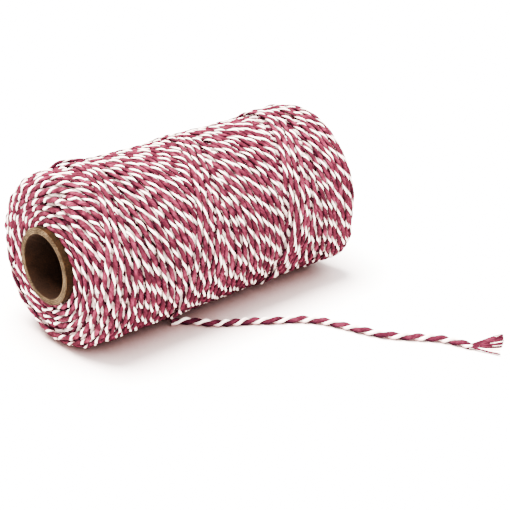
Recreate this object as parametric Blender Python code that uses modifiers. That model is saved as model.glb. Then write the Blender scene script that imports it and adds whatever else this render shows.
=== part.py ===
"""Roll of macrame cord: a two-ply cotton cord wound on a paperboard tube, with a loose frayed end.

The tube's axis lies along X, the near face of the roll is at minus X and Z is up.
The roll rests on the floor at Z = 0. All sizes are in metres.
"""
import math

import bmesh
import bpy
import numpy as np
from mathutils import Vector

# winding
ROLL_RADIUS = 0.02775
WINDING_HALF_LENGTH = 0.0521
SHOULDER_RADIUS = 0.0060
END_FACE_DISH = 0.0004
BORE_RADIUS = 0.01260
AROUND = 60
BODY_STATIONS = 45
FLAT_HALF_ANGLE = math.radians(9.0)

# bundles of cord that stand proud of the winding, in three overlapping packages
RIDGE_HEIGHT = 0.00070
PACKAGE_STEP = 0.00090
PACKAGE_WIDTH = 0.0370
PACKAGE_SHEAR = 0.0120
PACKAGE_STARTS = (-0.0560, -0.0195, 0.0200)
PACKAGE_LEANS = (0.0, 0.0160, 0.0100)
RIDGES_A_PACKAGE = 5.0
SHEAR_PHASE = math.radians(20.0)
CALM_FROM = math.radians(28.0)
CALM_TO = math.radians(60.0)

# tube
TUBE_OUTER_RADIUS = 0.01217
TUBE_INNER_RADIUS = 0.01010
TUBE_HALF_LENGTH = 0.0551
TUBE_SIDES = 48

# loose end
CORD_RADIUS = 0.00130
CORD_WAIST = 0.00074
CORD_SIDES = 10
TWIST_PITCH = 0.0072
STEPS_A_TWIST = 10
ROUTE = (
    (-0.0178, -0.0136), (-0.0151, -0.0149), (-0.0124, -0.0174), (-0.0085, -0.0229),
    (-0.0037, -0.0267), (0.0014, -0.0299), (0.0067, -0.0343), (0.0138, -0.0393),
    (0.0183, -0.0448), (0.0210, -0.0512), (0.0233, -0.0582), (0.0265, -0.0657),
    (0.0318, -0.0725), (0.0367, -0.0782), (0.0391, -0.0835),
)

# frayed end: a short head and the yarns that fan out of it on the floor
HEAD_START = (0.0393, -0.0840)
HEAD_END = (0.0405, -0.0884)
HEAD_RADII = (0.00115, 0.00110, 0.00082, 0.00060)
YARN_RADIUS = 0.00026
YARN_ROOT = 0.00045
YARN_TIPS = (
    (0.0552, -0.0878), (0.0541, -0.0903), (0.0526, -0.0921), (0.0508, -0.0935),
    (0.0490, -0.0951), (0.0470, -0.0962), (0.0434, -0.0976), (0.0415, -0.0971),
)
YARN_STEPS = 5


def clear_file():
    """Empty the start-up file."""
    for item in list(bpy.data.objects):
        bpy.data.objects.remove(item, do_unlink=True)


def make_collection(name):
    """Give the scene a collection with this name."""
    group = bpy.data.collections.new(name)
    bpy.context.scene.collection.children.link(group)
    return group


def make_material(name, colour, roughness):
    """One Principled material."""
    material = bpy.data.materials.new(name)
    material.use_nodes = True
    shader = material.node_tree.nodes["Principled BSDF"]
    shader.inputs["Base Color"].default_value = (*colour, 1.0)
    shader.inputs["Roughness"].default_value = roughness
    return material


def add_object(name, mesh, group, material):
    """Link a mesh as a named object."""
    item = bpy.data.objects.new(name, mesh)
    group.objects.link(item)
    mesh.materials.append(material)
    return item


def turn_faces_out(mesh):
    """Weld the seam and turn every face outwards."""
    body = bmesh.new()
    body.from_mesh(mesh)
    bmesh.ops.remove_doubles(body, verts=body.verts, dist=0.00001)
    bmesh.ops.recalc_face_normals(body, faces=body.faces)
    body.to_mesh(mesh)
    body.free()


def smooth_step(value, low, high):
    """0 below low, 1 above high, and an even blend between them."""
    t = np.clip((value - low) / (high - low), 0.0, 1.0)
    return t * t * (3.0 - 2.0 * t)


def winding_profile():
    """Half of the winding's section: radius and run along the surface from the middle."""
    rows = []
    straight = WINDING_HALF_LENGTH - SHOULDER_RADIUS
    for x in np.linspace(0.0, straight, BODY_STATIONS // 2 + 1)[:-1]:
        rows.append((x, ROLL_RADIUS, x))
    for angle in np.linspace(0.0, math.pi / 2.0, 6):
        x = straight + SHOULDER_RADIUS * math.sin(angle)
        radius = ROLL_RADIUS - SHOULDER_RADIUS * (1.0 - math.cos(angle))
        rows.append((x, radius, straight + SHOULDER_RADIUS * angle))
    run = rows[-1][2]
    top = rows[-1][1]
    for part in (0.36, 0.72, 1.0):
        radius = top + (BORE_RADIUS - top) * part
        x = WINDING_HALF_LENGTH - END_FACE_DISH * part
        rows.append((x, radius, run + (top - radius)))
    return rows


def package_border(angle, lean):
    """How far a package's first cord leans along the roll at each angle round it."""
    upper = np.clip(np.sin(angle), 0.0, 1.0)
    return lean * upper ** 2


def bundle_height(run, angle):
    """Height of the cord bundles over the plain roll at a run along it and an angle."""
    sheared = PACKAGE_WIDTH - PACKAGE_SHEAR * np.sin(angle - SHEAR_PHASE)
    height = np.zeros_like(angle)
    for start, lean in zip(PACKAGE_STARTS, PACKAGE_LEANS):
        across = (run - start - package_border(angle, lean)) / sheared
        ridge = RIDGE_HEIGHT * (np.abs(np.cos(math.pi * RIDGES_A_PACKAGE * across)) - 0.5)
        step = PACKAGE_STEP * (0.5 - np.clip(across, 0.0, 1.0))
        height = np.where(across >= 0.0, ridge + step, height)
    from_bottom = np.abs((angle + math.pi / 2.0 + math.pi) % (2.0 * math.pi) - math.pi)
    return height * smooth_step(from_bottom, CALM_FROM, CALM_TO)


def loft_rings(rings, closed):
    """Faces between rings of the same count; a closed loft joins the last to the first."""
    count = len(rings[0])
    points = [tuple(point) for ring in rings for point in ring]
    faces = []
    total = len(rings)
    for row in range(total if closed else total - 1):
        here = row * count
        there = ((row + 1) % total) * count
        for k in range(count):
            n = (k + 1) % count
            faces.append((here + k, here + n, there + n, there + k))
    return points, faces


def build_winding(group, material):
    """The wound cord as one solid ring with rounded shoulders and raised bundles."""
    axis_height = ROLL_RADIUS * math.cos(FLAT_HALF_ANGLE)
    step = 2.0 * math.pi / AROUND
    angle = -math.pi / 2.0 + step * (np.arange(AROUND) + 0.5)
    half = winding_profile()
    rows = [(-x, radius, -run) for x, radius, run in reversed(half[1:])] + half
    rings = []
    for x, radius, run in rows:
        raised = bundle_height(np.full(AROUND, run), angle)
        inner = smooth_step(radius, BORE_RADIUS + 0.0015, BORE_RADIUS + 0.006)
        full = radius + raised * inner
        if abs(x) > WINDING_HALF_LENGTH - 0.0007:
            full = np.full(AROUND, radius)
            sign = 1.0 if x > 0.0 else -1.0
            xs = x + sign * raised * inner * 0.6
        else:
            xs = np.full(AROUND, x)
        y = full * np.cos(angle)
        z = axis_height + full * np.sin(angle)
        z = np.maximum(z, 0.0)
        rings.append(np.stack([xs, -y, z], axis=1))
    points, faces = loft_rings(rings, True)
    mesh = bpy.data.meshes.new("winding")
    mesh.from_pydata(points, [], faces)
    turn_faces_out(mesh)
    return add_object("winding", mesh, group, material)


def build_tube(group, material):
    """The paperboard tube, turned with the Screw tool from its wall section."""
    axis_height = ROLL_RADIUS * math.cos(FLAT_HALF_ANGLE)
    corners = [
        (-TUBE_HALF_LENGTH, 0.0, TUBE_INNER_RADIUS),
        (-TUBE_HALF_LENGTH, 0.0, TUBE_OUTER_RADIUS),
        (TUBE_HALF_LENGTH, 0.0, TUBE_OUTER_RADIUS),
        (TUBE_HALF_LENGTH, 0.0, TUBE_INNER_RADIUS),
    ]
    mesh = bpy.data.meshes.new("core_tube")
    mesh.from_pydata(corners, [(0, 1), (1, 2), (2, 3), (3, 0)], [])
    item = add_object("core_tube", mesh, group, material)
    item.location = (0.0, 0.0, axis_height)
    screw = item.modifiers.new("turn", "SCREW")
    screw.axis = "X"
    screw.angle = 2.0 * math.pi
    screw.steps = TUBE_SIDES
    screw.render_steps = TUBE_SIDES
    screw.use_merge_vertices = True
    screw.merge_threshold = 0.00001
    screw.use_normal_flip = True
    return item


def even_points(table, spacing):
    """Points at even spacing along a smooth line through the table's points."""
    knots = [Vector((x, y, 0.0)) for x, y in table]
    fine = []
    for i in range(len(knots) - 1):
        before = knots[max(i - 1, 0)]
        after = knots[min(i + 2, len(knots) - 1)]
        for t in np.linspace(0.0, 1.0, 24, endpoint=False):
            a = knots[i] * 2.0
            b = (knots[i + 1] - before) * t
            c = (before * 2.0 - knots[i] * 5.0 + knots[i + 1] * 4.0 - after) * t * t
            d = (knots[i] * 3.0 - before - knots[i + 1] * 3.0 + after) * t * t * t
            fine.append((a + b + c + d) * 0.5)
    fine.append(knots[-1])
    line = np.array([[p.x, p.y] for p in fine])
    run = np.concatenate([[0.0], np.cumsum(np.linalg.norm(np.diff(line, axis=0), axis=1))])
    count = int(round(run[-1] / spacing)) + 1
    at = np.linspace(0.0, run[-1], count)
    return np.stack([np.interp(at, run, line[:, 0]), np.interp(at, run, line[:, 1])], axis=1)


def build_loose_end(group, material):
    """The loose cord: a two-lobed section carried along the floor and twisted to the left."""
    shape = bpy.data.curves.new("cord_section", "CURVE")
    shape.dimensions = "2D"
    outline = shape.splines.new("POLY")
    outline.points.add(CORD_SIDES - 1)
    for k in range(CORD_SIDES):
        turn = 2.0 * math.pi * k / CORD_SIDES
        reach = CORD_WAIST + (CORD_RADIUS - CORD_WAIST) * abs(math.cos(turn)) ** 1.4
        outline.points[k].co = (reach * math.cos(turn), reach * math.sin(turn), 0.0, 1.0)
    outline.use_cyclic_u = True
    section = bpy.data.objects.new("cord_section", shape)
    group.objects.link(section)

    route = even_points(ROUTE, TWIST_PITCH / STEPS_A_TWIST)
    path = bpy.data.curves.new("loose_end", "CURVE")
    path.dimensions = "3D"
    path.twist_mode = "Z_UP"
    path.bevel_mode = "OBJECT"
    path.bevel_object = section
    path.use_fill_caps = True
    spline = path.splines.new("POLY")
    spline.points.add(len(route) - 1)
    for k, (x, y) in enumerate(route):
        spline.points[k].co = (x, y, CORD_RADIUS, 1.0)
        spline.points[k].tilt = -2.0 * math.pi * k / STEPS_A_TWIST
    rope = bpy.data.objects.new("rope_curve", path)
    group.objects.link(rope)
    bpy.context.view_layer.update()
    view = bpy.context.evaluated_depsgraph_get()
    mesh = bpy.data.meshes.new_from_object(rope.evaluated_get(view))
    mesh.name = "loose_end"
    mesh.materials.clear()
    bpy.data.objects.remove(rope, do_unlink=True)
    bpy.data.objects.remove(section, do_unlink=True)
    turn_faces_out(mesh)
    return add_object("loose_end", mesh, group, material)


def tapered_rod(path, radii, sides, turn):
    """A closed rod whose rings stand on a line of points."""
    rings = []
    for k, point in enumerate(path):
        ahead = path[min(k + 1, len(path) - 1)] - path[max(k - 1, 0)]
        across = Vector((-ahead.y, ahead.x, 0.0)).normalized()
        up = ahead.cross(across).normalized()
        up = up if up.z > 0.0 else -up
        ring = []
        for s in range(sides):
            a = turn + 2.0 * math.pi * s / sides
            ring.append(point + across * radii[k] * math.cos(a) + up * radii[k] * math.sin(a))
        rings.append(ring)
    points, faces = loft_rings(rings, False)
    last = (len(rings) - 1) * sides
    faces.append(tuple(range(sides))[::-1])
    faces.append(tuple(range(last, last + sides)))
    return points, faces


def build_frayed_end(group, hidden, material):
    """The frayed tuft: yarns that lie on the floor, fused at a short head."""
    start = Vector((*HEAD_START, 0.0))
    end = Vector((*HEAD_END, 0.0))
    path = []
    for k, radius in enumerate(HEAD_RADII):
        point = start.lerp(end, k / (len(HEAD_RADII) - 1.0))
        point.z = radius * 1.04 + 0.00005
        path.append(point)
    points, faces = tapered_rod(path, HEAD_RADII, 10, math.pi / 10.0)
    mesh = bpy.data.meshes.new("frayed_end")
    mesh.from_pydata(points, [], faces)
    turn_faces_out(mesh)
    item = add_object("frayed_end", mesh, group, material)
    low = YARN_RADIUS * math.sin(math.pi / 4.0)
    for k, tip in enumerate(YARN_TIPS):
        share = k / (len(YARN_TIPS) - 1.0)
        root = start.lerp(end, 0.80 - 0.22 * abs(share - 0.5))
        root.z = YARN_ROOT
        goal = Vector((*tip, low))
        line = []
        sizes = []
        for step in range(YARN_STEPS + 1):
            t = step / YARN_STEPS
            point = root.lerp(goal, t)
            point.z = low + (YARN_ROOT - low) * max(0.0, 1.0 - 2.2 * t)
            side = Vector((-(goal.y - root.y), goal.x - root.x, 0.0))
            point += side * 0.035 * math.sin(math.pi * t * (1.0 + 0.5 * (k % 3)))
            line.append(point)
            sizes.append(YARN_RADIUS)
        points, faces = tapered_rod(line, sizes, 4, math.pi / 4.0)
        mesh = bpy.data.meshes.new("yarn_%d" % k)
        mesh.from_pydata(points, [], faces)
        turn_faces_out(mesh)
        yarn = add_object("yarn_%d" % k, mesh, hidden, material)
        yarn.hide_render = True
        yarn.display_type = "WIRE"
        fuse = item.modifiers.new("fuse_%d" % k, "BOOLEAN")
        fuse.operation = "UNION"
        fuse.solver = "EXACT"
        fuse.object = yarn
    return item


def main():
    """Build the roll's four pieces."""
    clear_file()
    group = make_collection("roll_of_macrame_cord")
    hidden = make_collection("cutters")
    twine = make_material("two_tone_cotton_twine", (0.48, 0.09, 0.13), 0.9)
    loose = make_material("loose_cotton_twine", (0.55, 0.14, 0.18), 0.9)
    frayed = make_material("frayed_cotton_yarn", (0.52, 0.10, 0.15), 0.9)
    board = make_material("kraft_paperboard", (0.30, 0.19, 0.11), 0.85)
    build_winding(group, twine)
    build_tube(group, board)
    build_loose_end(group, loose)
    build_frayed_end(group, hidden, frayed)


main()
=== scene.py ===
import math

import bpy
import numpy as np
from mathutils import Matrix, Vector


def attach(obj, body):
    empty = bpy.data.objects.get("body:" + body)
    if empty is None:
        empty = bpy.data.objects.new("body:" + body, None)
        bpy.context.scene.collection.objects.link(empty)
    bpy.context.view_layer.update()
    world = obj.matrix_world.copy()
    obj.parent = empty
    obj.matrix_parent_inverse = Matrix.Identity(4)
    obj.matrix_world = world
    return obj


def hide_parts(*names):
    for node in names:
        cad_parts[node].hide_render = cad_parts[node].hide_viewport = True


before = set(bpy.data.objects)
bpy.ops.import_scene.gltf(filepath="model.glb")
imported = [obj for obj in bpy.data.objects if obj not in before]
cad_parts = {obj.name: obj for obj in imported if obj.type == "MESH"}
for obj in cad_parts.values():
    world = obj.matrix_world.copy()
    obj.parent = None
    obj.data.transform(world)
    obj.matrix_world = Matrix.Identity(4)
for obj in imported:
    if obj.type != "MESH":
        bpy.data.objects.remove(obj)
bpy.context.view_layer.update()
print("frame loaded")


def hexColour(code):
    # sRGB hex to linear: each channel to the power 2.4 past a short straight toe
    parts = np.array([int(code[k:k + 2], 16) for k in (1, 3, 5)]) / 255.0
    linear = np.where(parts <= 0.04045, parts / 12.92, ((parts + 0.055) / 1.055) ** 2.4)
    return (*[float(part) for part in linear], 1.0)


def addNode(tree, kind, settings=None, inputs=None, links=None):
    # one node with its settings, its fixed input values and its links from other nodes
    node = tree.nodes.new(kind)
    for key, value in (settings or {}).items():
        setattr(node, key, value)
    for key, value in (inputs or {}).items():
        node.inputs[key].default_value = value
    for key, (other, output) in (links or {}).items():
        tree.links.new(other.outputs[output], node.inputs[key])
    return node


def newMaterial(name, shaderValues):
    # a material with constant values on its shader's own sockets
    material = bpy.data.materials.new(name)
    material.use_nodes = True
    shader = material.node_tree.nodes["Principled BSDF"]
    for key, value in shaderValues.items():
        shader.inputs[key].default_value = value
    return material, material.node_tree, shader


def colourRamp(tree, stops, source):
    # a ramp over (position, hex colour) stops
    ramp = addNode(tree, "ShaderNodeValToRGB", links={"Fac": source})
    band = ramp.color_ramp
    band.elements[0].position, band.elements[0].color = stops[0][0], hexColour(stops[0][1])
    band.elements[1].position, band.elements[1].color = stops[-1][0], hexColour(stops[-1][1])
    for position, code in stops[1:-1]:
        band.elements.new(position).color = hexColour(code)
    return ramp


# camera at the photograph's angle, fitted to the outline of the roll and the rims of the tube
cameraLook = {
    "place": (-0.23338, -0.28980, 0.17640),
    "aim": (0.01392, -0.01875, 0.01713),
    "lens": 86.0,
    "sensor": 36.0,
    "nearest": 0.01,
}


def makeCamera(look):
    data = bpy.data.cameras.new("camera")
    data.lens = look["lens"]
    data.sensor_width = look["sensor"]
    data.clip_start = look["nearest"]
    camera = bpy.data.objects.new("camera", data)
    bpy.context.scene.collection.objects.link(camera)
    camera.location = look["place"]
    ahead = Vector(look["aim"]) - Vector(look["place"])
    camera.rotation_euler = ahead.to_track_quat("-Z", "Y").to_euler()
    bpy.context.scene.camera = camera


makeCamera(cameraLook)


# floor, light and surroundings
stageLook = {
    # how far off a thing still darkens the floor's colour, and the floor's colour over how open it
    # lies: a painted contact shadow, tinted pink as by light bounced off the red cotton
    "paintedShadowReach": 0.029,
    "paintedShadowSamples": 12,
    "paintedShadowTones": [(0.0, "#3A2020"), (0.25, "#977370"), (0.50, "#D9C5C1"), (0.78, "#F5EEEC"),
                (1.0, "#FBFAF9")],
    "floorRoughness": 0.42,
    "floorSpecular": 0.1,
    "floorSize": 9.0,
    "worldColour": "#FFFFFF",
    "worldStrength": 2.0,
    "suns": [
        # name, where it shines from, spread in degrees, strength, colour
        ("overhead", (-0.14, 0.14, 1.0), 36.0, 55.0, "#FFFDF8"),
        ("front", (-0.25, -0.85, 0.80), 50.0, 6.8, "#FFFFFF"),
        ("side", (-1.0, -0.15, 0.35), 60.0, 3.5, "#FFFFFF"),
    ],
}


def makeStage(look):
    scene = bpy.context.scene
    half = look["floorSize"] / 2.0
    mesh = bpy.data.meshes.new("floor")
    corners = [(-half, -half, 0.0), (half, -half, 0.0), (half, half, 0.0), (-half, half, 0.0)]
    mesh.from_pydata(corners, [], [(0, 1, 2, 3)])
    floor = bpy.data.objects.new("floor", mesh)
    scene.collection.objects.link(floor)
    # white card whose colour ambient occlusion darkens and tints pink where a thing lies close
    # above it: a painted contact shadow
    material, tree, shader = newMaterial("white studio card with painted contact shadow", {
        "Roughness": look["floorRoughness"],
        "Specular IOR Level": look["floorSpecular"],
    })
    # painted contact shadow: the less open the floor lies, the darker and pinker its colour
    near = addNode(tree, "ShaderNodeAmbientOcclusion", {"samples": look["paintedShadowSamples"]},
                   {"Distance": look["paintedShadowReach"]})
    shade = colourRamp(tree, look["paintedShadowTones"], (near, "AO"))
    tree.links.new(shade.outputs["Color"], shader.inputs["Base Color"])
    mesh.materials.append(material)
    world = bpy.data.worlds.new("studio")
    world.use_nodes = True
    sky = world.node_tree.nodes["Background"]
    sky.inputs["Color"].default_value = hexColour(look["worldColour"])
    sky.inputs["Strength"].default_value = look["worldStrength"]
    scene.world = world
    for name, source, spread, strength, colour in look["suns"]:
        data = bpy.data.lights.new(name, "SUN")
        data.angle = math.radians(spread)
        data.energy = strength
        data.color = hexColour(colour)[:3]
        lamp = bpy.data.objects.new(name, data)
        scene.collection.objects.link(lamp)
        lamp.location = Vector(source)
        lamp.rotation_euler = (-Vector(source)).to_track_quat("-Z", "Y").to_euler()


makeStage(stageLook)
print("camera, floor and light set")


# two-colour cotton cord: for each ply its distance from the cord's middle, its radius, how
# flat its outer side is pressed, the share of its size that is left where it lies at the
# cord's side, and the places round its section where it has points (0 faces away from the
# cord's middle); press is the cord's height over its width, and the last entry the heights
# between which a ply turns from its painted shade tone, painted where it lies down between the
# cords, to its own
cordLook = {
    "redPly": (0.00020, 0.00080, 0.0, 1.0,
               (-150.0, -112.0, -75.0, -37.0, 0.0, 37.0, 75.0, 112.0, 150.0)),
    "whitePly": (0.00057, 0.00047, 0.10, 0.78, (-110.0, -70.0, -34.0, 0.0, 34.0, 70.0, 110.0)),
    "press": 0.70,
    "paintedShade": (-0.00012, 0.00034),
    "pitch": 0.0071,
    "ringsPerPitch": 10,
}


def meshFromRings(name, parts, materials):
    # each part is a grid of rings, closed round and capped at both ends:
    # (points[n, m, 3], material index, length along it at each ring, share of painted shade at each
    # point)
    verts, loops, starts, totals, slots, uvs, paintedShades = [], [], [], [], [], [], []
    vertCount, loopCount = 0, 0
    for points, slot, along, paintedShade in parts:
        n, m = points.shape[:2]
        index = np.arange(n * m).reshape(n, m) + vertCount
        after = np.roll(index, -1, axis=1)
        quads = np.stack([index[:-1], after[:-1], after[1:], index[1:]], axis=-1).reshape(-1, 4)
        u0 = np.broadcast_to(np.arange(m) / m, (n - 1, m))
        u1 = u0 + 1.0 / m
        v0 = np.broadcast_to(along[:-1, None], (n - 1, m))
        v1 = np.broadcast_to(along[1:, None], (n - 1, m))
        quadUv = np.stack([u0, v0, u1, v0, u1, v1, u0, v1], axis=-1).reshape(-1, 2)
        caps = np.concatenate([index[0, ::-1], index[-1]])
        capUv = np.stack([np.tile(np.arange(m) / m, 2), np.repeat([along[0], along[-1]], m)],
                         axis=-1)
        verts.append(points.reshape(-1, 3))
        paintedShades.append(np.broadcast_to(paintedShade, (n, m)).reshape(-1))
        loops.extend([quads.reshape(-1), caps])
        uvs.extend([quadUv, capUv])
        starts.append(loopCount + np.arange(len(quads)) * 4)
        starts.append(loopCount + len(quads) * 4 + np.array([0, m]))
        totals.append(np.concatenate([np.full(len(quads), 4), [m, m]]))
        slots.append(np.full(len(quads) + 2, slot))
        vertCount += n * m
        loopCount += len(quads) * 4 + 2 * m
    verts = np.concatenate(verts)
    loops = np.concatenate(loops)
    starts = np.concatenate(starts)
    totals = np.concatenate(totals)
    mesh = bpy.data.meshes.new(name)
    mesh.vertices.add(len(verts))
    mesh.vertices.foreach_set("co", verts.astype(np.float32).ravel())
    mesh.loops.add(len(loops))
    mesh.loops.foreach_set("vertex_index", loops.astype(np.int32))
    mesh.polygons.add(len(starts))
    mesh.polygons.foreach_set("loop_start", starts.astype(np.int32))
    mesh.polygons.foreach_set("loop_total", totals.astype(np.int32))
    mesh.polygons.foreach_set("material_index", np.concatenate(slots).astype(np.int32))
    mesh.polygons.foreach_set("use_smooth", np.ones(len(starts), dtype=bool))
    layer = mesh.uv_layers.new(name="fibre")
    layer.data.foreach_set("uv", np.concatenate(uvs).astype(np.float32).ravel())
    # share of painted shade at each point, which the materials mix towards their shade tone
    depth = mesh.attributes.new("paintedShade", "FLOAT", "POINT")
    depth.data.foreach_set("value", np.concatenate(paintedShades).astype(np.float32))
    mesh.update(calc_edges=True)
    mesh.validate()
    for material in materials:
        mesh.materials.append(material)
    item = bpy.data.objects.new(name, mesh)
    bpy.context.scene.collection.objects.link(item)
    return item


def unit(rows):
    # each row over its own length
    return rows / np.maximum(np.linalg.norm(rows, axis=-1, keepdims=True), 1e-12)


def blurLine(values, width):
    # bell-shaped running mean along a line, its ends held
    reach = max(1, int(3 * width))
    bell = np.exp(-0.5 * (np.arange(-reach, reach + 1) / width) ** 2)
    padded = np.pad(values, reach, mode="edge")
    return np.convolve(padded, bell / bell.sum(), mode="valid")


def smoothStep(low, high, value):
    # 3 t squared less 2 t cubed, where t is the share of the way from low to high
    t = np.clip((value - low) / (high - low), 0.0, 1.0)
    return t * t * (3.0 - 2.0 * t)


def plyRings(centre, upward, phase, offset, radius, flat, angles, press=1.0):
    # a ply is a round tube whose centre circles the cord's line: line + offset * (cos, sin)
    # of the phase across and up, its ring turns with the phase and is flattened by a share
    # of cos squared of the angle on its outer side; press scales the whole cord's height;
    # also gives how far each point lies outward of the cord's line
    ahead = unit(np.gradient(centre, axis=0))
    across = unit(np.cross(ahead, upward))
    up = np.cross(across, ahead)
    turn = phase[:, None] + np.radians(angles)[None, :]
    radius = radius[:, None] * (1.0 - flat * np.clip(np.cos(np.radians(angles)), 0.0, 1.0) ** 2)
    sideways = (offset * np.cos(phase))[:, None] + radius * np.cos(turn)
    outward = ((offset * np.sin(phase))[:, None] + radius * np.sin(turn)) * press
    points = (centre[:, None] + across[:, None] * sideways[..., None]
              + up[:, None] * outward[..., None])
    return points, outward


def twoPlies(cord, line, upward, phase, thick, along, shifts):
    # crimson ply and, half a turn on, the white one, each at its full size where it faces out
    # and squeezed at the cord's sides; each point gets a share of painted shade, full where it lies
    # deep between the cords
    parts = []
    for slot, (offset, radius, flat, side, angles) in enumerate((cord["redPly"], cord["whitePly"])):
        own = phase + math.pi * slot
        share = side + (1.0 - side) * np.clip(np.sin(own), 0.0, 1.0)
        points, outward = plyRings(line, upward, own, offset * share, radius * thick * share, flat,
                                   angles, cord["press"])
        # painted shade: full below the lower height, none above the upper
        paintedShade = 1.0 - smoothStep(*cord["paintedShade"], outward)
        parts.append((points, slot, along + shifts[slot], paintedShade))
    return parts


def evenSteps(points, step, *others):
    # the same line at even steps of its own length
    run = np.concatenate([[0.0], np.cumsum(np.linalg.norm(np.diff(points, axis=0), axis=1))])
    count = max(3, int(round(run[-1] / step)) + 1)
    at = np.linspace(0.0, run[-1], count)
    line = np.stack([np.interp(at, run, points[:, k]) for k in range(3)], axis=1)
    rest = [np.stack([np.interp(at, run, o[:, k]) for k in range(3)], axis=1) if o.ndim == 2
            else np.interp(at, run, o) for o in others]
    return (at, line, *rest)


# materials of the cord; the fibre and strand scales are a count round a ply and a count for
# each metre along it, and the strands are drawn as coarse as they need to be to show
cottonLook = {
    "roughness": 0.95,
    "haloRoughness": 0.5,
    "patchDetail": 3.0,
    "fibreScale": (7.0, 420.0, 1.0),
    "fibreDetail": 4.0,
    "fibreRoughness": 0.65,
    "fibreShare": 0.5,
    "strandScale": (5.0, 1400.0, 1.0),
    "strandWave": {"Scale": 0.31, "Distortion": 1.2, "Detail": 2.0, "Detail Scale": 1.4},
    "strandShare": 0.45,
    "stops": (0.34, 0.5, 0.68),
    "bump": {"Strength": 0.55, "Distance": 0.00022},
}


def cottonMaterial(look, name, dark, middle, light, deep, patchSize, sheen, shine):
    # carded cotton: fully rough, with a faint halo of fibre ends (sheen) and tone that wanders
    # along each ply as it does in dyed yarn; a painted shade tone is mixed in where the plies lie
    # deep between the cords
    material, tree, shader = newMaterial(name, {
        "Roughness": look["roughness"],
        "Specular IOR Level": shine,
        "Sheen Weight": sheen,
        "Sheen Roughness": look["haloRoughness"],
        "Sheen Tint": hexColour(light),
    })
    coords = addNode(tree, "ShaderNodeTexCoord")
    patch = addNode(tree, "ShaderNodeTexNoise", {},
                    {"Scale": 1.0 / patchSize, "Detail": look["patchDetail"]},
                    {"Vector": (coords, "Object")})
    stretch = addNode(tree, "ShaderNodeMapping", {}, {"Scale": look["fibreScale"]},
                      {"Vector": (coords, "UV")})
    fibre = addNode(tree, "ShaderNodeTexNoise", {},
                    {"Scale": 1.0, "Detail": look["fibreDetail"],
                     "Roughness": look["fibreRoughness"]},
                    {"Vector": (stretch, "Vector")})
    lay = addNode(tree, "ShaderNodeMapping", {}, {"Scale": look["strandScale"]},
                  {"Vector": (coords, "UV")})
    strands = addNode(tree, "ShaderNodeTexWave",
                      {"wave_type": "BANDS", "bands_direction": "DIAGONAL"},
                      look["strandWave"], {"Vector": (lay, "Vector")})
    both = addNode(tree, "ShaderNodeMix", {"data_type": "FLOAT"}, {"Factor": look["fibreShare"]},
                   {"A": (fibre, "Fac"), "B": (patch, "Fac")})
    ramp = colourRamp(tree, list(zip(look["stops"], (dark, middle, light))), (both, 0))
    # painted shade: the colour is mixed towards the shade tone by each point's painted shade share
    paintedShade = addNode(tree, "ShaderNodeAttribute", {"attribute_name": "paintedShade"})
    # sockets 6 and 7 are the two colours of a colour mix, 2 its result
    shaded = addNode(tree, "ShaderNodeMix", {"data_type": "RGBA"}, {7: hexColour(deep)},
                     {0: (paintedShade, "Fac"), 6: (ramp, "Color")})
    tree.links.new(shaded.outputs[2], shader.inputs["Base Color"])
    grain = addNode(tree, "ShaderNodeMix", {"data_type": "FLOAT"}, {"Factor": look["strandShare"]},
                    {"A": (fibre, "Fac"), "B": (strands, "Fac")})
    bump = addNode(tree, "ShaderNodeBump", {}, look["bump"], {"Height": (grain, 0)})
    tree.links.new(bump.outputs["Normal"], shader.inputs["Normal"])
    return material


# dark, middle, light and painted shade tone, size of the patches of tone, fibre halo and shine
crimsonCotton = cottonMaterial(cottonLook, "crimson dyed cotton", "#17040A", "#370D18",
                               "#682338", "#1F060F", 0.0024, 0.03, 0.03)
whiteCotton = cottonMaterial(cottonLook, "bleached white cotton", "#F4D4C9", "#FFE8DC",
                             "#FFF4EC", "#824A4F", 0.0030, 0.12, 0.10)
# the loose end and its frayed yarns take a darker copy of the crimson cotton: painted shade
shadedLooseCrimson = cottonMaterial(cottonLook, "crimson cotton of the loose end, painted darker as shade", "#16030A",
                              "#2E0A15", "#4A1828", "#12020A", 0.0030, 0.03, 0.03)


# the wound cord
rollSizes = {
    "radius": 0.02775,
    "halfLength": 0.0531,
    "shoulder": 0.0060,
    "axisHeight": 0.027408,
    "floorClear": 0.00106,
    # where the packages are built up past the plain roll: height, run where the rise starts,
    # is full, starts to fall and is gone, middle angle and spread; and how much further out
    # the far end lies
    "rises": [(0.0005, -0.0615, -0.0575, -0.049, -0.042, 165.0, 50.0),
              (0.0005, -0.011, 0.003, 0.200, 0.210, 108.0, 36.0),
              (0.0013, 0.026, 0.042, 0.044, 0.060, 78.0, 50.0),
              (0.0021, 0.034, 0.044, 0.052, 0.062, -34.0, 11.0)],
    "farStretch": 0.0011,
    "stretched": (0.020, 0.050),
}


def ringRadius(sizes, run):
    # distance of the plain roll's surface from the axis: full along the straight run, less a
    # quarter circle's drop at the shoulder, then less the way inwards over the end face
    straight = sizes["halfLength"] - sizes["shoulder"]
    bend = np.clip((np.abs(run) - straight) / sizes["shoulder"], 0.0, math.pi / 2.0)
    face = np.clip(np.abs(run) - straight - sizes["shoulder"] * math.pi / 2.0, 0.0, None)
    return sizes["radius"] - sizes["shoulder"] * (1.0 - np.cos(bend)) - face


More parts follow.
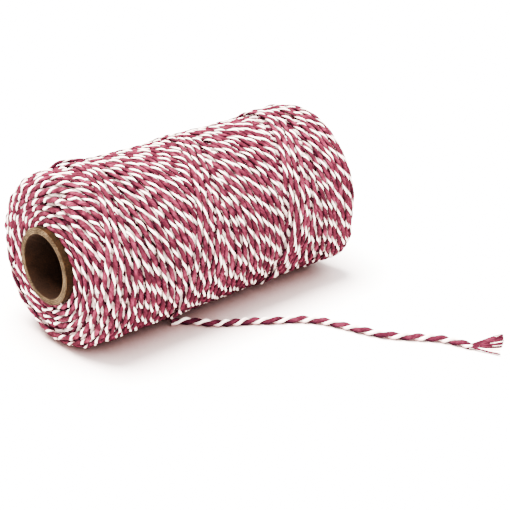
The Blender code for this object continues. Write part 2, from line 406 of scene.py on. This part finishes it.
def rollPoint(sizes, run, angle, height):
    # surface of the roll: straight along the axis, a quarter circle at each shoulder, then a
    # flat end face; angle 0 is the front, a quarter turn the top; height is along the normal
    straight = sizes["halfLength"] - sizes["shoulder"]
    side = np.sign(run)
    far = np.abs(run)
    bend = np.clip((far - straight) / sizes["shoulder"], 0.0, math.pi / 2.0)
    x = side * (np.minimum(far, straight) + sizes["shoulder"] * np.sin(bend))
    radius = ringRadius(sizes, run)
    for rise, start, full, last, gone, middle, spread in sizes["rises"]:
        away = (np.degrees(angle) - middle + 180.0) % 360.0 - 180.0
        here = smoothStep(start, full, run) * (1.0 - smoothStep(last, gone, run))
        height = height + rise * here * np.exp(-0.5 * (away / spread) ** 2)
    x = x + sizes["farStretch"] * smoothStep(*sizes["stretched"], x)
    x = x + side * np.sin(bend) * height
    radius = radius + np.cos(bend) * height
    y = -radius * np.cos(angle)
    z = sizes["axisHeight"] + radius * np.sin(angle)
    normal = np.stack([side * np.sin(bend), -np.cos(bend) * np.cos(angle),
                       np.cos(bend) * np.sin(angle)], axis=-1)
    return np.stack([x, y, z], axis=-1), normal


# how the turns are swept round the roll, linked to their neighbours and twisted
windLook = {
    "steps": 720,
    # rounds swept; the lines settle first and only the last round is kept
    "rounds": 3,
    "spacing": 0.00205,
    "firstSpacing": 1.04,
    "widthSpread": 0.05,
    "leanEase": 8.0,
    # degrees over which the lower growth takes over from the upper one
    "lowFrom": (40.0, -5.0),
    "stiffness": 80.0,
    # a turn comes up or sinks over this length, from or to this depth
    "fade": 0.0062,
    "dive": 0.0017,
    "limit": 0.0662,
    # in spacings: a pair closer than crowded loses one, a pair this much too wide gains one
    "crowded": 0.66,
    "parted": 0.55,
    # in spacings: gap at an edge that calls for a new turn, and how far in that one starts,
    # at a plain edge, at a seam that is crossed and at one that is passed under
    "edge": (1.35, 0.4),
    "crossEdge": (1.9, 0.9),
    "underEdge": (1.9, 0.1),
    "crossSink": 0.6,
    "underSink": 1.15,
    # lines with fewer steps than this are left out, and the blurs along the others in steps
    "shortest": 14,
    "blurFrom": 40,
    "runBlur": 5.0,
    "seenBlur": 3.0,
    # height of a line: how deep the cords press in, how high the first turns of a package
    # ride over the ones below and how far from the seam, and a slow waver
    "sunk": 0.00058,
    "ride": 0.00050,
    "rideFade": (0.001, 0.0075),
    "waver": 0.00018,
    # angle at which the twist of neighbours is set one from the next, and how much that step
    # wanders slowly from turn to turn
    "setAt": 2.0,
    "wander": 0.40,
    "wanderHold": 0.8,
    # the turns that run beside a seam: how wide their bundle is, slant and drift of their twist
    "bundleWidth": 0.0085,
    "bundleSlant": 1.70,
    "bundleDrift": 0.50,
    # how much a line's twist runs fast or slow, wobbles on its way and varies in thickness
    "rateSpread": 0.07,
    "wobble": 0.28,
    "thickSpread": 0.03,
    "waverKnots": 26,
    "wobbleKnots": 24,
    "thickKnots": 60,
}
# the packages of the winding: where each begins and ends, in millimetres over degrees round
# the roll (-90 is the floor, 0 the front, 90 the top)
degreesRound = (-90, -60, -35, -10, 5, 20, 35, 50, 65, 90, 120, 150, 190, 230, 270)
nearWall = (-66.0,) * 15
farWall = (66.0,) * 15
shoulderSeam = (-55, -55.5, -55, -53.5, -52, -49.5, -47, -44.5, -42, -39, -40, -45, -51, -54, -55)
firstSeam = (-15, -18.5, -20.2, -19.4, -17.8, -15.5, -13, -10.2, -7, -2, 0, -3, -9, -13, -15)
secondSeam = (18.5, 18.5, 19.0, 19.8, 20.4, 21.2, 22, 24, 28, 32.5, 34, 31, 25, 20.5, 19)
# how steeply turns lean as they come down the front: run along the axis for each length
# round the roll, towards the far end where it is above zero
lean = (0.02, 0.06, 0.12, 0.11, 0.12, 0.12, 0.15, 0.16, 0.22, 0.28,
        0.05, -0.15, -0.24, -0.14, 0.02)
nearLean = (0.0, -0.05, -0.08, -0.08, -0.05, 0.0, 0.12, 0.35, 0.55, 0.62,
            0.08, -0.18, -0.25, -0.15, 0.0)
farLean = (0.02, 0.20, 0.26, 0.16, 0.05, 0.00, 0.00, 0.02, 0.05, 0.05,
           0.00, -0.15, -0.26, -0.20, 0.02)
# what is added to the seam's own lean for the first turns of a package beside it
level = (0.0,) * 15
farBundle = (0.0, -0.02, -0.12, -0.17, -0.20, -0.18, -0.18, -0.06) + (0.0,) * 7
# a package lies between its left and right edge; endLean takes over from lean between the
# runs endRun, and lean from the seam's own between the shares grow of its width (growLow
# low on the front); its first turn lies at a wall, is a cord along the seam or crosses the
# seam, its last one passes under the next package or lies at a wall; slant and drift set
# the twist of one turn from its neighbour's
packages = [
    {"name": "nearShoulder", "left": nearWall, "right": shoulderSeam, "lean": nearLean,
     "endLean": nearLean, "endRun": (1.0, 2.0), "grow": (0.02, 0.60), "growLow": (0.02, 0.60),
     "bundle": level, "first": "wall", "last": "under", "slant": 0.9, "drift": 1.2, "seed": 20},
    {"name": "nearPackage", "left": shoulderSeam, "right": firstSeam, "lean": lean,
     "endLean": lean, "endRun": (1.0, 2.0), "grow": (0.08, 0.26), "growLow": (0.28, 0.46),
     "bundle": level, "first": "cord", "last": "under", "slant": 1.1, "drift": 1.25, "seed": 21},
    {"name": "middlePackage", "left": firstSeam, "right": secondSeam, "lean": lean,
     "endLean": lean, "endRun": (1.0, 2.0), "grow": (0.16, 0.32), "growLow": (0.30, 0.46),
     "bundle": level, "first": "cord", "last": "under", "slant": 0.9, "drift": 1.15, "seed": 42},
    {"name": "farPackage", "left": secondSeam, "right": farWall, "lean": lean,
     "endLean": farLean, "endRun": (0.034, 0.046), "grow": (0.20, 0.34), "growLow": (0.22, 0.36),
     "bundle": farBundle, "first": "cross", "last": "wall", "slant": 0.6, "drift": 0.85,
     "seed": 23},
]


def roundCurve(values, degrees, width=12.0):
    # smooth closed curve over the angle: a short table joined by straight lines every half
    # degree, then a bell-shaped running mean that many degrees wide, carried round the roll
    halves = np.arange(-90.0, 270.0, 0.5)
    fine = np.interp(halves, degreesRound, values)
    reach = int(6 * width)
    bell = np.exp(-0.5 * (np.arange(-reach, reach + 1) * 0.5 / width) ** 2)
    eased = np.convolve(np.tile(fine, 3), bell / bell.sum(), mode="same")
    return np.interp(degrees, halves, eased[len(halves):2 * len(halves)], period=360.0)


def sweepPackage(sizes, look, package, rng):
    # the turns are carried round the roll together, in small steps over the top and down the
    # front: each follows the lean at its place and is eased to an even distance from its
    # neighbours; where they crowd one sinks below the rest, where they part one comes up
    steps, gap0 = look["steps"], look["spacing"]
    degrees = 270.0 - 360.0 * np.arange(steps) / steps
    left = roundCurve(package["left"], degrees) / 1000.0
    right = roundCurve(package["right"], degrees) / 1000.0
    stepArc = sizes["radius"] * 2.0 * math.pi / steps
    leftLean = (np.roll(left, -1) - left) / stepArc
    bodyLean, endLean, bundle = [roundCurve(package[key], degrees, look["leanEase"])
                                 for key in ("lean", "endLean", "bundle")]
    bundleLean = leftLean + bundle
    low = smoothStep(*look["lowFrom"], degrees)
    pinned = package["first"] == "cord"
    crossing = package["first"] == "cross"
    under = package["last"] == "under"
    # place along the run, share that shows, whether it comes up (1) or sinks (-1), width
    place = np.arange(left[0] + (0.0 if pinned else gap0 * 0.5), right[0] - gap0 * 0.4,
                      gap0 * look["firstSpacing"])
    seen = np.ones(len(place))
    change = np.zeros(len(place))
    width = rng.normal(1.0, look["widthSpread"], len(place))
    names = list(range(len(place)))
    nextName = len(place)
    kept = {}
    for step in range(look["rounds"] * steps):
        j = step % steps
        radius = ringRadius(sizes, place)
        u = np.clip((place - left[j]) / (right[j] - left[j]), 0.0, 1.0)
        grown = ((1.0 - low[j]) * smoothStep(*package["grow"], u)
                 + low[j] * smoothStep(*package["growLow"], u))
        atEnd = smoothStep(*package["endRun"], place)
        steep = bodyLean[j] * (1.0 - atEnd) + endLean[j] * atEnd
        steep = bundleLean[j] * (1.0 - grown) + steep * grown
        flat = 1.0 / np.sqrt(1.0 + steep ** 2)
        gap = np.diff(place) * (flat[1:] + flat[:-1]) / 2.0
        wanted = gap0 * (seen[1:] * width[1:] + seen[:-1] * width[:-1]) / 2.0
        strain = gap - wanted
        push = np.zeros(len(place))
        push[:-1] += strain
        push[1:] -= strain
        if not pinned and not crossing:
            push[0] -= (place[0] - left[j]) - gap0 * 0.5 * seen[0]
        if not under:
            push[-1] += (right[j] - place[-1]) - gap0 * 0.5 * seen[-1]
        arc = radius * 2.0 * math.pi / steps
        place = place + (steep + look["stiffness"] * push) * arc
        if pinned:
            place[0] = left[j]
        seen = np.clip(seen + change * arc / look["fade"], 0.0, 1.0)
        change = np.where((change > 0.0) & (seen >= 1.0), 0.0, change)
        # one that meets the next package goes below it
        if under:
            change = np.where(place > right[j] - gap0 * look["underSink"], -1.0, change)
        if crossing:
            change = np.where(place < left[j] + gap0 * look["crossSink"], -1.0, change)
        change = np.where(np.abs(place) > look["limit"], -1.0, change)
        # crowded pair: the one with less room sinks
        full = (seen[1:] > 0.7) & (seen[:-1] > 0.7) & (change[1:] >= 0.0) & (change[:-1] >= 0.0)
        tight = np.where(full, gap / gap0, 9.0)
        if len(tight) and tight.min() < look["crowded"]:
            k = int(tight.argmin())
            before = tight[k - 1] if k > 0 else 9.0
            after = tight[k + 1] if k + 1 < len(tight) else 9.0
            pick = k if (before < after and not (pinned and k == 0)) else k + 1
            change[pick] = -1.0
        # where one comes up: between a parted pair, and at a wall or seam with room beside it
        for where in ("between", "left", "right"):
            up = place[change >= 0.0]
            if where == "between":
                loose = strain / gap0
                k = int(loose.argmax()) + 1 if len(loose) and loose.max() > look["parted"] else None
                spot = (place[k - 1] + place[k]) / 2.0 if k else None
            elif where == "left":
                room, inset = look["crossEdge" if crossing else "edge"]
                first = up.min() if len(up) else right[j]
                spot = left[j] + gap0 * inset
                k = int(np.searchsorted(place, spot))
                k = k if not pinned and first - left[j] > gap0 * room else None
            else:
                room, inset = look["underEdge" if under else "edge"]
                last = up.max() if len(up) else left[j]
                spot = max(place[-1] + gap0 * 0.3, right[j] - gap0 * inset)
                k = len(place) if right[j] - last > gap0 * room else None
            if k is None:
                continue
            place = np.insert(place, k, spot)
            seen = np.insert(seen, k, 0.0)
            change = np.insert(change, k, 1.0)
            width = np.insert(width, k, rng.normal(1.0, look["widthSpread"]))
            names.insert(k, nextName)
            nextName += 1
        stay = ~((change < 0.0) & (seen <= 0.0))
        place, seen, change, width = place[stay], seen[stay], change[stay], width[stay]
        names = [name for name, keep in zip(names, stay) if keep]
        if step >= (look["rounds"] - 1) * steps:
            for name, here, shown in zip(names, place, seen):
                kept.setdefault(name, []).append((j, here, shown))
    lines = [np.array(rows) for rows in kept.values() if len(rows) > look["shortest"]]
    return lines, left


def linkTwist(look, package, pitch, lines, lengths, left, rng):
    # phase of each turn at its start: at one angle round the roll the marks of neighbours step
    # down by slant times their distance; that step wanders and also varies at random by drift
    setAt = (270.0 - look["setAt"]) / 360.0 * look["steps"]
    nearest = [int(np.abs(rows[:, 0] - setAt).argmin()) for rows in lines]
    order = sorted(range(len(lines)), key=lambda k: (
        abs(lines[k][nearest[k], 0] - setAt) > 1.0, abs(lines[k][nearest[k], 0] - setAt) // 20,
        lines[k][nearest[k], 1]))
    starts, shift = {}, 0.0
    for k in order:
        step, run = lines[k][nearest[k], :2]
        best = None
        for other, start in starts.items():
            at = int(step - lines[other][0, 0])
            if 0 <= at < len(lines[other]):
                away = run - lines[other][at, 1]
                if best is None or abs(away) < abs(best[0]):
                    best = (away, start + 2.0 * math.pi * lengths[other][at] / pitch)
        shift = look["wanderHold"] * shift + rng.normal(0.0, look["wander"])
        beside = package["first"] != "wall" and run - left[int(step)] < look["bundleWidth"]
        slant = look["bundleSlant"] if beside else package["slant"]
        drift = look["bundleDrift"] if beside else package["drift"]
        there = rng.uniform(0.0, 6.28) if best is None else (
            best[1] - 2.0 * math.pi * slant * best[0] / pitch + shift
            + rng.normal(0.0, drift))
        starts[k] = there - 2.0 * math.pi * lengths[k][nearest[k]] / pitch
    return starts, nearest


def waverLine(rng, count, knots, middle, spread):
    # a slow random waver: random values at even knots, joined by straight lines
    return np.interp(np.arange(count), np.linspace(0, count, knots),
                     rng.normal(middle, spread, knots))


def windPackage(sizes, look, cord, package):
    # each swept line laid on the roll, then its two plies twisted round it: phase = start +
    # full turns per pitch of its length, a little fast or slow away from where it is set
    rng = np.random.default_rng(package["seed"])
    lines, left = sweepPackage(sizes, look, package, rng)
    laid = []
    for rows in lines:
        degrees = 270.0 - 360.0 * rows[:, 0] / look["steps"]
        run = rows[:, 1]
        if len(run) > look["blurFrom"]:
            run = blurLine(run, look["runBlur"])
        shown = blurLine(smoothStep(0.0, 1.0, rows[:, 2]), look["seenBlur"])
        # first turns of a package ride over the leaning ones below them
        ride = 0.0
        if package["first"] != "wall":
            away = run - left[rows[:, 0].astype(int)]
            ride = look["ride"] * (1.0 - smoothStep(*look["rideFade"], away))
        waver = waverLine(rng, len(run), look["waverKnots"], 0.0, 1.0)
        height = -look["sunk"] + ride - look["dive"] * (1.0 - shown) + look["waver"] * waver
        line, normal = rollPoint(sizes, run, np.radians(degrees), height)
        line[:, 2] = np.maximum(line[:, 2], sizes["floorClear"])
        laid.append((line, normal))
    lengths = [np.concatenate([[0.0], np.cumsum(np.linalg.norm(np.diff(line, axis=0), axis=1))])
               for line, normal in laid]
    starts, nearest = linkTwist(look, package, cord["pitch"], lines, lengths, left, rng)
    parts, total = [], 0.0
    for k, (line, normal) in enumerate(laid):
        along, line, normal = evenSteps(line, cord["pitch"] / cord["ringsPerPitch"], normal)
        total += along[-1]
        count = len(along)
        wobble = waverLine(rng, count, look["wobbleKnots"], 0.0, look["wobble"])
        fast = (along - lengths[k][nearest[k]]) * rng.normal(0.0, look["rateSpread"])
        phase = starts[k] + 2.0 * math.pi * (along + fast) / cord["pitch"] + wobble
        thick = waverLine(rng, count, look["thickKnots"], 1.0, look["thickSpread"])
        parts += twoPlies(cord, line, normal, phase, thick, along, rng.uniform(0.0, 0.4, 2))
    item = meshFromRings(package["name"], parts, [crimsonCotton, whiteCotton])
    print("wound", package["name"], len(lines), "lines,", len(item.data.polygons), "faces,",
          round(float(total), 2), "m of cord")
    return item


winding = [windPackage(rollSizes, windLook, cordLook, package) for package in packages]


# under layer: one even spiral below the packages, seen only through their gaps, its plies painted
# part-way to their shade tone as painted shade
underLook = {
    "turns": 62,
    "perTurn": 240,
    "reach": 0.0660,
    "sway": 0.004,
    "depth": 0.00180,
    "rings": 6,
    "ply": (0.00048, 0.00066),
    "angles": (-130.0, -60.0, 0.0, 60.0, 130.0),
    # share of painted shade on every ply of the under layer
    "paintedShade": 0.60,
}


def windUnder(sizes, cord, look):
    # run = even steps from end to end with the angle + a sway of one cosine each turn, all at
    # one depth
    count = look["turns"] * look["perTurn"]
    angle = np.arange(count) * 2.0 * math.pi / look["perTurn"]
    run = np.linspace(look["reach"], -look["reach"], count) + look["sway"] * np.cos(angle + 1.0)
    run = np.clip(run, -look["reach"], look["reach"])
    line, normal = rollPoint(sizes, run, angle, -look["depth"])
    line[:, 2] = np.maximum(line[:, 2], sizes["floorClear"])
    along, line, normal = evenSteps(line, cord["pitch"] / look["rings"], normal)
    phase = 2.0 * math.pi * along / cord["pitch"]
    offset, radius = look["ply"]
    parts = []
    for slot, turned in ((0, 0.0), (1, math.pi)):
        rings = plyRings(line, normal, phase + turned, offset, np.full(len(along), radius), 0.0,
                         look["angles"])[0]
        parts.append((rings, slot, along, look["paintedShade"]))
    return meshFromRings("underTurns", parts, [crimsonCotton, whiteCotton])


under = windUnder(rollSizes, cordLook, underLook)
print("under layer", len(under.data.polygons), "faces")


def smoothRoute(points, steps):
    # a curve through every point: a cubic between each pair whose slopes come from the
    # neighbours on both sides
    knots = np.array(points)
    ends = np.concatenate([knots[:1], knots, knots[-1:]])
    t = np.linspace(0.0, 1.0, steps, endpoint=False)[:, None]
    pieces = []
    for a, b, c, d in zip(ends[:-3], ends[1:-2], ends[2:-1], ends[3:]):
        pieces.append(0.5 * (2 * b + (c - a) * t + (2 * a - 5 * b + 4 * c - d) * t ** 2
                             + (3 * b - a - 3 * c + d) * t ** 3))
    return np.concatenate(pieces + [knots[-1:]])


# one turn that stands proud over the near shoulder: (run, degrees round, height) in
# millimetres and degrees, both ends below the others
strayLook = {
    "route": [(-46.5, 119, -2.6), (-44.3, 115, -0.7), (-41.5, 112, 0.85), (-38.5, 110, 1.05),
              (-35.0, 108, 0.55), (-31.5, 105, -0.6), (-28.0, 101, -1.9), (-25.0, 96, -3.0)],
    "phase": 0.6,
    "ringsPerPitch": 16,
}


def windStray(sizes, cord, look):
    # the route laid on the roll's surface, then two plies twisted evenly round it
    run, degrees, height = smoothRoute(look["route"], 12).T
    line, normal = rollPoint(sizes, run / 1000.0, np.radians(degrees), height / 1000.0)
    along, line, normal = evenSteps(line, cord["pitch"] / look["ringsPerPitch"], normal)
    phase = look["phase"] + 2.0 * math.pi * along / cord["pitch"]
    parts = twoPlies(cord, line, normal, phase, np.ones(len(along)), along, (0.0, 0.1))
    return meshFromRings("proudTurn", parts, [crimsonCotton, whiteCotton])


winding.append(windStray(rollSizes, cordLook, strayLook))
print("proud turn laid")

for item in winding + [under]:
    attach(item, "root")
    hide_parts("winding")


# loose end along the floor
looseLook = {
    "redPly": (0.00040, 0.00086, 0.0, 1.0,
               (-156.0, -126.0, -96.0, -66.0, -36.0, -12.0, 12.0, 36.0, 66.0, 96.0, 126.0, 156.0)),
    "whitePly": (0.00068, 0.00060, 0.0, 1.0,
                 (-136.0, -100.0, -65.0, -32.0, 0.0, 32.0, 65.0, 100.0, 136.0)),
    "press": 1.0,
    # heights between which the loose cord turns from its painted shade tone to its own
    "paintedShade": (-0.00090, 0.00010),
    "pitch": 0.0072,
    "ringsPerPitch": 16,
    "height": 0.00128,
    "thickSpread": 0.03,
    # thickness left at the very end and the stretch over which it is full again
    "taper": (0.55, -0.001, 0.004),
    # how far along the cord the crimson ply faces the camera
    "marks": (-0.0004, 0.0067, 0.0135, 0.0196, 0.0256, 0.0324, 0.0412, 0.0483, 0.0553, 0.0627,
              0.0708, 0.0794, 0.0870, 0.0940, 0.1010),
    "facing": 27.0,
    "route": [
        (-0.0178, -0.0136), (-0.0151, -0.0149), (-0.0124, -0.0174), (-0.0085, -0.0229),
        (-0.0037, -0.0267), (0.0014, -0.0299), (0.0067, -0.0343), (0.0138, -0.0393),
        (0.0183, -0.0448), (0.0210, -0.0512), (0.0233, -0.0582), (0.0265, -0.0657),
        (0.0318, -0.0725), (0.0367, -0.0782), (0.0391, -0.0835), (0.0400, -0.0866),
        (0.0406, -0.0890),
    ],
}


def makeLooseEnd(look):
    # a smooth curve through the route at one height, twisted one turn from mark to mark
    rng = np.random.default_rng(3)
    flat = smoothRoute(look["route"], 24)
    line = np.column_stack([flat, np.full(len(flat), look["height"])])
    along, line = evenSteps(line, look["pitch"] / look["ringsPerPitch"])
    upward = np.tile([0.0, 0.0, 1.0], (len(line), 1))
    marks = np.array(look["marks"])
    turns = np.interp(along, marks, np.arange(len(marks)))
    phase = math.radians(look["facing"]) + 2.0 * math.pi * blurLine(turns, 5.0)
    thick = np.interp(along, np.linspace(0, along[-1], 40),
                      rng.normal(1.0, look["thickSpread"], 40))
    least, low, high = look["taper"]
    thick = thick * (least + (1.0 - least) * smoothStep(low, high, along[-1] - along))
    parts = twoPlies(look, line, upward, phase, thick, along, (0.0, 0.0))
    item = meshFromRings("looseEnd", parts, [shadedLooseCrimson, whiteCotton])
    return item, line, float(along[-1])


looseEnd, looseLine, looseLength = makeLooseEnd(looseLook)


# frayed yarns at the end of the loose cord
frayLook = {
    "root": (0.0401, -0.0874),
    "rootHeight": 0.00055,
    "redTips": [(0.0550, -0.0892), (0.0546, -0.0899), (0.0539, -0.0905), (0.0533, -0.0912),
                (0.0524, -0.0918), (0.0518, -0.0925), (0.0507, -0.0930), (0.0497, -0.0936),
                (0.0484, -0.0942), (0.0436, -0.0974)],
    "whiteTips": [(0.0545, -0.0896), (0.0529, -0.0914), (0.0512, -0.0926), (0.0490, -0.0940),
                  (0.0466, -0.0951), (0.0450, -0.0962)],
    "redRadius": 0.00037,
    "whiteRadius": 0.00022,
    # spread of the roots across the cord and up; sway and ripple in shares of a yarn's
    # length; thinning is the thickness at the root, what is lost by the tip and how uneven
    "rootSpread": 0.00016,
    "rootRise": 0.00022,
    "whiteLower": 0.0003,
    "sway": 0.022,
    "ripple": 0.011,
    "tipLift": 0.0003,
    "thinning": (1.20, 0.50, 0.07),
    "angles": (-150.0, -90.0, -30.0, 30.0, 90.0, 150.0),
    "clear": 0.00002,
    "steps": 30,
}


def makeFray(look):
    # each yarn runs from the cord's end to its tip in a wavering line: straight line + half a
    # sine and a growing ripple sideways, and it drops to the floor over two thirds of its way
    rng = np.random.default_rng(11)
    parts = []
    t = np.linspace(0.0, 1.0, look["steps"])
    for slot, tips, thick in ((0, look["redTips"], look["redRadius"]),
                              (1, look["whiteTips"], look["whiteRadius"])):
        for tip in tips:
            root = np.array(look["root"]) + rng.normal(0.0, look["rootSpread"], 2)
            goal = np.array(tip)
            flat = root + (goal - root) * t[:, None]
            side = np.array([-(goal - root)[1], (goal - root)[0]])
            sway = look["sway"] * np.sin(math.pi * t) * rng.normal(0.0, 1.0)
            sway += look["ripple"] * np.sin(t * rng.uniform(9.0, 15.0) + rng.uniform(0.0, 6.0)) * t
            flat = flat + side * sway[:, None]
            rise = look["rootHeight"] + rng.normal(0.0, look["rootRise"])
            rise -= look["whiteLower"] * slot
            z = thick + (rise - thick) * np.clip(1.0 - 1.5 * t, 0.0, 1.0)
            z += look["tipLift"] * t * rng.uniform()
            line = np.column_stack([flat, z])
            upward = np.tile([0.0, 0.0, 1.0], (len(line), 1))
            full, less, uneven = look["thinning"]
            radius = thick * (full - less * t + uneven * rng.normal(0.0, 1.0, len(t)))
            rings = plyRings(line, upward, np.zeros(len(t)), 0.0, radius, 0.0, look["angles"])[0]
            rings[..., 2] = np.maximum(rings[..., 2], look["clear"])
            parts.append((rings, slot, t * 0.012 + rng.uniform(0.0, 0.3), 0.0))
    return meshFromRings("frayedYarns", parts, [shadedLooseCrimson, whiteCotton])


fray = makeFray(frayLook)
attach(looseEnd, "root")
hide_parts("loose_end")
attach(fray, "root")
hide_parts("frayed_end")
print("loose end", round(looseLength, 4), "m")


# tube
tubeLook = {
    "outer": 0.01217,
    "inner": 0.01010,
    "halfLength": 0.0551,
    "axisHeight": 0.027408,
    "sides": 160,
    # radius of the rim's softened edges, where the straight walls' points end, the out of
    # round of the wall, and the roughness of the wall and of the cut
    "soft": 0.00022,
    "straight": 0.048,
    "outOfRound": 0.00003,
    "wallRough": 0.000012,
    "cutRough": 0.000018,
}


def makeTube(look):
    # closed section of the wall carried round the axis: point = (run, radius * sine and
    # cosine of the turn); the rim's edges are softened and its cut face is slightly uneven
    rng = np.random.default_rng(5)
    end, outer, inner, soft = look["halfLength"], look["outer"], look["inner"], look["soft"]
    wall = outer - inner
    rim = [(end - soft, outer), (end - soft * 0.3, outer - soft * 0.3), (end, outer - soft),
           (end + 0.00004, inner + wall * 0.66), (end - 0.00004, inner + wall * 0.33),
           (end, inner + soft), (end - soft * 0.3, inner + soft * 0.3), (end - soft, inner)]
    inside = [(x, inner) for x in np.linspace(look["straight"], -look["straight"], 7)]
    far = [(-x, r) for x, r in rim[::-1]]
    outside = [(x, outer) for x in np.linspace(-look["straight"], look["straight"], 7)]
    section = np.array(rim + inside + far + outside)
    turn = np.arange(look["sides"]) * 2.0 * math.pi / look["sides"]
    ripple = look["outOfRound"] * np.sin(turn * 3.0 + 1.0)[None, :] + rng.normal(
        0.0, look["wallRough"], (len(section), look["sides"]))
    radius = section[:, 1][:, None] + ripple
    x = section[:, 0][:, None] + rng.normal(0.0, look["cutRough"], radius.shape)
    points = np.stack([x, radius * np.sin(turn), look["axisHeight"] + radius * np.cos(turn)],
                      axis=-1)
    verts = points.reshape(-1, 3)
    index = np.arange(len(verts)).reshape(points.shape[:2])
    nextRow = np.roll(index, -1, axis=0)
    quads = np.stack([index, nextRow, np.roll(nextRow, -1, axis=1), np.roll(index, -1, axis=1)],
                     axis=-1).reshape(-1, 4)
    mesh = bpy.data.meshes.new("paperTube")
    mesh.from_pydata(verts.tolist(), [], quads.tolist())
    mesh.polygons.foreach_set("use_smooth", np.ones(len(quads), dtype=bool))
    # material 0 outer wall, 1 cut ends, 2 bore
    edge = np.abs(section[:, 0]) > end - 0.6 * soft
    bore = section[:, 1] < inner + 0.5 * soft
    kind = np.where(edge & np.roll(edge, -1), 1, np.where(bore & np.roll(bore, -1), 2, 0))
    mesh.polygons.foreach_set("material_index", np.repeat(kind, look["sides"]).astype(np.int32))
    item = bpy.data.objects.new("paperTube", mesh)
    bpy.context.scene.collection.objects.link(item)
    return item


# fine fibre about 0.4 mm, blotches about 4 mm, layers half a millimetre thick in the cut
boardLook = {
    "shader": {"Roughness": 0.95, "Specular IOR Level": 0.03},
    "fibre": {"Scale": 2600.0, "Detail": 5.0, "Roughness": 0.7},
    "blotch": {"Scale": 260.0, "Detail": 3.0},
    "blotchShare": 0.4,
    "layer": 0.00052,
    "layerTone": 0.10,
    "stops": (0.30, 0.52, 0.72),
    "bump": {"Strength": 0.5, "Distance": 0.00015},
}


def boardMaterial(look, name, dark, middle, light, layered):
    # spiral-wound kraft paperboard: matt and brown with fine fibre; its cut edge is paler
    # and shows the wound layers as rings
    material, tree, shader = newMaterial(name, look["shader"])
    coords = addNode(tree, "ShaderNodeTexCoord")
    fibre = addNode(tree, "ShaderNodeTexNoise", {}, look["fibre"], {"Vector": (coords, "Object")})
    blotch = addNode(tree, "ShaderNodeTexNoise", {}, look["blotch"],
                     {"Vector": (coords, "Object")})
    both = addNode(tree, "ShaderNodeMix", {"data_type": "FLOAT"}, {"Factor": look["blotchShare"]},
                   {"A": (fibre, "Fac"), "B": (blotch, "Fac")})
    if layered:
        # sine of the distance from the tube's axis, one wave a layer
        middlePoint = addNode(tree, "ShaderNodeVectorMath", {"operation": "SUBTRACT"},
                              {1: (0.0, 0.0, tubeLook["axisHeight"])}, {0: (coords, "Object")})
        flatten = addNode(tree, "ShaderNodeVectorMath", {"operation": "MULTIPLY"},
                          {1: (0.0, 1.0, 1.0)}, {0: (middlePoint, "Vector")})
        distance = addNode(tree, "ShaderNodeVectorMath", {"operation": "LENGTH"}, {},
                           {0: (flatten, "Vector")})
        turns = addNode(tree, "ShaderNodeMath", {"operation": "MULTIPLY"},
                        {1: 2.0 * math.pi / look["layer"]}, {0: (distance, "Value")})
        rings = addNode(tree, "ShaderNodeMath", {"operation": "SINE"}, {}, {0: (turns, "Value")})
        both = addNode(tree, "ShaderNodeMath", {"operation": "MULTIPLY_ADD"},
                       {1: look["layerTone"]}, {0: (rings, "Value"), 2: (both, 0)})
    ramp = colourRamp(tree, list(zip(look["stops"], (dark, middle, light))), (both, 0))
    tree.links.new(ramp.outputs["Color"], shader.inputs["Base Color"])
    bump = addNode(tree, "ShaderNodeBump", {}, look["bump"], {"Height": (fibre, "Fac")})
    tree.links.new(bump.outputs["Normal"], shader.inputs["Normal"])
    return material


tube = makeTube(tubeLook)
# outer wall, cut end and bore: dark, middle and light tone, and whether its layers show; the bore's
# tones are darker than the outer wall's as painted shade inside the tube
for shades in (("kraft paperboard", "#070301", "#130802", "#291507", False),
               ("cut paperboard edge", "#090502", "#23180D", "#5C4A34", True),
               ("kraft paperboard of the bore, painted darker as shade", "#060201", "#110703", "#221007", False)):
    tube.data.materials.append(boardMaterial(boardLook, *shades))
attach(tube, "root")
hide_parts("core_tube")
print("tube made")
